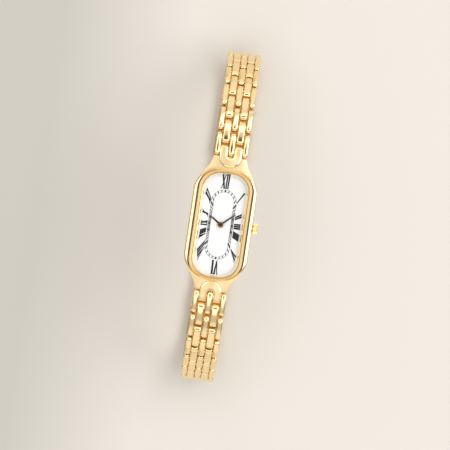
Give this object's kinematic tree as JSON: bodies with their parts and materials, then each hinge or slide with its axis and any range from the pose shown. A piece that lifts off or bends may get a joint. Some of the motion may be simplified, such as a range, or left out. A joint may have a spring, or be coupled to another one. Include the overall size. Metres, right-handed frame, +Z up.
{
  "type": "oval watch",
  "caption": "Gold-tone oblong bracelet watch with a white Roman dial, a fluted crown and a five-column brick bracelet closed by a fold-over clasp.",
  "frame": {"origin": "on the flat underside of the clasp cover, straight below the axis of the hands", "axes": "+X towards 3 o'clock and the crown, +Y towards 12 o'clock, +Z up out of the dial"},
  "size_m": [0.015, 0.0727, 0.033],
  "materials": {
    "polished_gold": "polished, gold plated",
    "brushed_gold": "brushed, gold plated",
    "steel": "satin",
    "brass": "plain",
    "crystal_glass": "clear, polished",
    "white_dial": "matt enamel",
    "dark_hand": "dark brown, polished",
    "gasket_rubber": "matt",
    "spacer_plastic": "matt"
  },
  "bodies": {
    "watch_case": {"case": "brushed_gold", "bezel": "polished_gold", "crystal": "crystal_glass", "crystal_gasket": "gasket_rubber", "dial": "white_dial", "movement": "brass", "movement_ring": "spacer_plastic", "battery": "steel", "case_back": "steel", "case_back_gasket": "gasket_rubber", "crown_tube": "steel", "end_links": "polished_gold"},
    "hour_hand": {"hour_hand": "dark_hand"},
    "minute_hand": {"minute_hand": "dark_hand"},
    "setting_lever": {"setting_lever": "steel"},
    "crown": {"crown": "polished_gold", "winding_stem": "steel"},
    "upper_row_01": {"upper_row_01": "polished_gold"},
    "upper_row_02": {"upper_row_02": "polished_gold"},
    "upper_row_03": {"upper_row_03": "polished_gold"},
    "upper_row_04": {"upper_row_04": "polished_gold"},
    "upper_row_05": {"upper_row_05": "polished_gold"},
    "upper_row_06": {"upper_row_06": "polished_gold"},
    "upper_row_07": {"upper_row_07": "polished_gold"},
    "upper_row_08": {"upper_row_08": "polished_gold"},
    "upper_row_09": {"upper_row_09": "polished_gold"},
    "upper_row_10": {"upper_row_10": "polished_gold"},
    "upper_row_11": {"upper_row_11": "polished_gold"},
    "upper_row_12": {"upper_row_12": "polished_gold"},
    "upper_row_13": {"upper_row_13": "polished_gold"},
    "upper_row_14": {"upper_row_14": "polished_gold"},
    "upper_row_15": {"upper_row_15": "polished_gold"},
    "upper_row_16": {"upper_row_16": "polished_gold"},
    "upper_row_17": {"upper_row_17": "polished_gold"},
    "upper_row_18": {"upper_row_18": "polished_gold"},
    "upper_row_19": {"upper_row_19": "polished_gold"},
    "upper_row_20": {"upper_row_20": "polished_gold"},
    "upper_row_21": {"upper_row_21": "polished_gold"},
    "lower_row_01": {"lower_row_01": "polished_gold"},
    "lower_row_02": {"lower_row_02": "polished_gold"},
    "lower_row_03": {"lower_row_03": "polished_gold"},
    "lower_row_04": {"lower_row_04": "polished_gold"},
    "lower_row_05": {"lower_row_05": "polished_gold"},
    "lower_row_06": {"lower_row_06": "polished_gold"},
    "lower_row_07": {"lower_row_07": "polished_gold"},
    "lower_row_08": {"lower_row_08": "polished_gold"},
    "lower_row_09": {"lower_row_09": "polished_gold"},
    "lower_row_10": {"lower_row_10": "polished_gold"},
    "lower_row_11": {"lower_row_11": "polished_gold"},
    "lower_row_12": {"lower_row_12": "polished_gold"},
    "lower_row_13": {"lower_row_13": "polished_gold"},
    "lower_row_14": {"lower_row_14": "polished_gold"},
    "lower_row_15": {"lower_row_15": "polished_gold"},
    "lower_row_16": {"lower_row_16": "polished_gold"},
    "lower_row_17": {"lower_row_17": "polished_gold"},
    "lower_row_18": {"lower_row_18": "polished_gold"},
    "lower_row_19": {"lower_row_19": "polished_gold"},
    "clasp_base": {"clasp_base": "brushed_gold", "clasp_hinge_pin": "brushed_gold"},
    "clasp_cover": {"clasp_cover": "brushed_gold"}
  },
  "joints": [
    {"name": "clasp_base_hinge", "type": "hinge", "parent": "lower_row_19", "child": "clasp_base", "pos_m": [0, -0.01852, 0.0015], "axis": [-1, 0, 0], "range_deg": [-3, 0]},
    {"name": "clasp_cover_hinge", "type": "hinge", "parent": "clasp_base", "child": "clasp_cover", "pos_m": [0, 0.01049, 0.00095], "axis": [1, 0, 0], "range_deg": [0, 110]},
    {"name": "minute_hand_turn", "type": "hinge", "parent": "watch_case", "child": "minute_hand", "pos_m": [0, 0, 0.0315], "axis": [0, 0, -1], "continuous": true},
    {"name": "hour_hand_turn", "type": "hinge", "parent": "watch_case", "child": "hour_hand", "pos_m": [0, 0, 0.03126], "axis": [0, 0, -1], "continuous": true},
    {"name": "crown_pull", "type": "slide", "parent": "watch_case", "child": "setting_lever", "axis": [1, 0, 0], "range_m": [0, 0.0008]},
    {"name": "crown_turn", "type": "hinge", "parent": "setting_lever", "child": "crown", "pos_m": [0.00697, 0, 0.02964], "axis": [1, 0, 0], "continuous": true},
    {"name": "upper_row_01_hinge", "type": "hinge", "parent": "watch_case", "child": "upper_row_01", "pos_m": [0, 0.01575, 0.02974], "axis": [1, 0, 0], "range_deg": [0, 8]},
    {"name": "upper_row_02_hinge", "type": "hinge", "parent": "upper_row_01", "child": "upper_row_02", "pos_m": [0, 0.01847, 0.02935], "axis": [1, 0, 0], "range_deg": [0, 4]},
    {"name": "upper_row_03_hinge", "type": "hinge", "parent": "upper_row_02", "child": "upper_row_03", "pos_m": [0, 0.02116, 0.02878], "axis": [1, 0, 0], "range_deg": [0, 5]},
    {"name": "upper_row_04_hinge", "type": "hinge", "parent": "upper_row_03", "child": "upper_row_04", "pos_m": [0, 0.02379, 0.02798], "axis": [1, 0, 0], "range_deg": [0, 9]},
    {"name": "upper_row_05_hinge", "type": "hinge", "parent": "upper_row_04", "child": "upper_row_05", "pos_m": [0, 0.02626, 0.02677], "axis": [1, 0, 0], "range_deg": [0, 9]},
    {"name": "upper_row_06_hinge", "type": "hinge", "parent": "upper_row_05", "child": "upper_row_06", "pos_m": [0, 0.02852, 0.0252], "axis": [1, 0, 0], "range_deg": [0, 10]},
    {"name": "upper_row_07_hinge", "type": "hinge", "parent": "upper_row_06", "child": "upper_row_07", "pos_m": [0, 0.03046, 0.02325], "axis": [1, 0, 0], "range_deg": [0, 8]},
    {"name": "upper_row_08_hinge", "type": "hinge", "parent": "upper_row_07", "child": "upper_row_08", "pos_m": [0, 0.03212, 0.02105], "axis": [1, 0, 0], "range_deg": [0, 8]},
    {"name": "upper_row_09_hinge", "type": "hinge", "parent": "upper_row_08", "child": "upper_row_09", "pos_m": [0, 0.03345, 0.01865], "axis": [1, 0, 0], "range_deg": [0, 8]},
    {"name": "upper_row_10_hinge", "type": "hinge", "parent": "upper_row_09", "child": "upper_row_10", "pos_m": [0, 0.03444, 0.01608], "axis": [1, 0, 0], "range_deg": [0, 8]},
    {"name": "upper_row_11_hinge", "type": "hinge", "parent": "upper_row_10", "child": "upper_row_11", "pos_m": [0, 0.03505, 0.0134], "axis": [1, 0, 0], "range_deg": [0, 8]},
    {"name": "upper_row_12_hinge", "type": "hinge", "parent": "upper_row_11", "child": "upper_row_12", "pos_m": [0, 0.03529, 0.01066], "axis": [1, 0, 0], "range_deg": [0, 11]},
    {"name": "upper_row_13_hinge", "type": "hinge", "parent": "upper_row_12", "child": "upper_row_13", "pos_m": [0, 0.03501, 0.00793], "axis": [1, 0, 0], "range_deg": [0, 14]},
    {"name": "upper_row_14_hinge", "type": "hinge", "parent": "upper_row_13", "child": "upper_row_14", "pos_m": [0, 0.03407, 0.00534], "axis": [1, 0, 0], "range_deg": [0, 21]},
    {"name": "upper_row_15_hinge", "type": "hinge", "parent": "upper_row_14", "child": "upper_row_15", "pos_m": [0, 0.03226, 0.00327], "axis": [1, 0, 0], "range_deg": [0, 21]},
    {"name": "upper_row_16_hinge", "type": "hinge", "parent": "upper_row_15", "child": "upper_row_16", "pos_m": [0, 0.02983, 0.00198], "axis": [1, 0, 0], "range_deg": [0, 18]},
    {"name": "upper_row_17_hinge", "type": "hinge", "parent": "upper_row_16", "child": "upper_row_17", "pos_m": [0, 0.02713, 0.0015], "axis": [1, 0, 0], "range_deg": [0, 6]},
    {"name": "upper_row_18_hinge", "type": "hinge", "parent": "upper_row_17", "child": "upper_row_18", "pos_m": [0, 0.02438, 0.00131], "axis": [1, 0, 0], "range_deg": [0, 2]},
    {"name": "upper_row_19_hinge", "type": "hinge", "parent": "upper_row_18", "child": "upper_row_19", "pos_m": [0, 0.02163, 0.00121], "axis": [1, 0, 0], "range_deg": [0, 3]},
    {"name": "upper_row_20_hinge", "type": "hinge", "parent": "upper_row_19", "child": "upper_row_20", "pos_m": [0, 0.01888, 0.00126], "axis": [1, 0, 0], "range_deg": [0, 1]},
    {"name": "upper_row_21_hinge", "type": "hinge", "parent": "upper_row_20", "child": "upper_row_21", "pos_m": [0, 0.01614, 0.00136], "axis": [1, 0, 0], "range_deg": [0, 1]},
    {"name": "lower_row_01_hinge", "type": "hinge", "parent": "watch_case", "child": "lower_row_01", "pos_m": [0, -0.01575, 0.02974], "axis": [-1, 0, 0], "range_deg": [0, 8]},
    {"name": "lower_row_02_hinge", "type": "hinge", "parent": "lower_row_01", "child": "lower_row_02", "pos_m": [0, -0.01847, 0.02935], "axis": [-1, 0, 0], "range_deg": [0, 4]},
    {"name": "lower_row_03_hinge", "type": "hinge", "parent": "lower_row_02", "child": "lower_row_03", "pos_m": [0, -0.02116, 0.02878], "axis": [-1, 0, 0], "range_deg": [0, 6]},
    {"name": "lower_row_04_hinge", "type": "hinge", "parent": "lower_row_03", "child": "lower_row_04", "pos_m": [0, -0.02378, 0.02793], "axis": [-1, 0, 0], "range_deg": [0, 11]},
    {"name": "lower_row_05_hinge", "type": "hinge", "parent": "lower_row_04", "child": "lower_row_05", "pos_m": [0, -0.02618, 0.0266], "axis": [-1, 0, 0], "range_deg": [0, 12]},
    {"name": "lower_row_06_hinge", "type": "hinge", "parent": "lower_row_05", "child": "lower_row_06", "pos_m": [0, -0.02826, 0.0248], "axis": [-1, 0, 0], "range_deg": [0, 9]},
    {"name": "lower_row_07_hinge", "type": "hinge", "parent": "lower_row_06", "child": "lower_row_07", "pos_m": [0, -0.03003, 0.02269], "axis": [-1, 0, 0], "range_deg": [0, 7]},
    {"name": "lower_row_08_hinge", "type": "hinge", "parent": "lower_row_07", "child": "lower_row_08", "pos_m": [0, -0.03152, 0.02038], "axis": [-1, 0, 0], "range_deg": [0, 4]},
    {"name": "lower_row_09_hinge", "type": "hinge", "parent": "lower_row_08", "child": "lower_row_09", "pos_m": [0, -0.03286, 0.01798], "axis": [-1, 0, 0], "range_deg": [0, 3]},
    {"name": "lower_row_10_hinge", "type": "hinge", "parent": "lower_row_09", "child": "lower_row_10", "pos_m": [0, -0.03406, 0.01551], "axis": [-1, 0, 0], "range_deg": [0, 5]},
    {"name": "lower_row_11_hinge", "type": "hinge", "parent": "lower_row_10", "child": "lower_row_11", "pos_m": [0, -0.03505, 0.01294], "axis": [-1, 0, 0], "range_deg": [0, 11]},
    {"name": "lower_row_12_hinge", "type": "hinge", "parent": "lower_row_11", "child": "lower_row_12", "pos_m": [0, -0.03553, 0.01023], "axis": [-1, 0, 0], "range_deg": [0, 17]},
    {"name": "lower_row_13_hinge", "type": "hinge", "parent": "lower_row_12", "child": "lower_row_13", "pos_m": [0, -0.03519, 0.0075], "axis": [-1, 0, 0], "range_deg": [0, 20]},
    {"name": "lower_row_14_hinge", "type": "hinge", "parent": "lower_row_13", "child": "lower_row_14", "pos_m": [0, -0.03394, 0.00505], "axis": [-1, 0, 0], "range_deg": [0, 19]},
    {"name": "lower_row_15_hinge", "type": "hinge", "parent": "lower_row_14", "child": "lower_row_15", "pos_m": [0, -0.03196, 0.00314], "axis": [-1, 0, 0], "range_deg": [0, 19]},
    {"name": "lower_row_16_hinge", "type": "hinge", "parent": "lower_row_15", "child": "lower_row_16", "pos_m": [0, -0.02947, 0.00198], "axis": [-1, 0, 0], "range_deg": [0, 15]},
    {"name": "lower_row_17_hinge", "type": "hinge", "parent": "lower_row_16", "child": "lower_row_17", "pos_m": [0, -0.02676, 0.0015], "axis": [-1, 0, 0], "range_deg": [0, 6]},
    {"name": "lower_row_18_hinge", "type": "hinge", "parent": "lower_row_17", "child": "lower_row_18", "pos_m": [0, -0.02402, 0.00131], "axis": [-1, 0, 0], "range_deg": [0, 5]},
    {"name": "lower_row_19_hinge", "type": "hinge", "parent": "lower_row_18", "child": "lower_row_19", "pos_m": [0, -0.02127, 0.00136], "axis": [-1, 0, 0], "range_deg": [0, 2]}
  ],
  "couplings": [
    {"joint": "hour_hand_turn", "follows": "minute_hand_turn", "ratio": 0.083333}
  ]
}
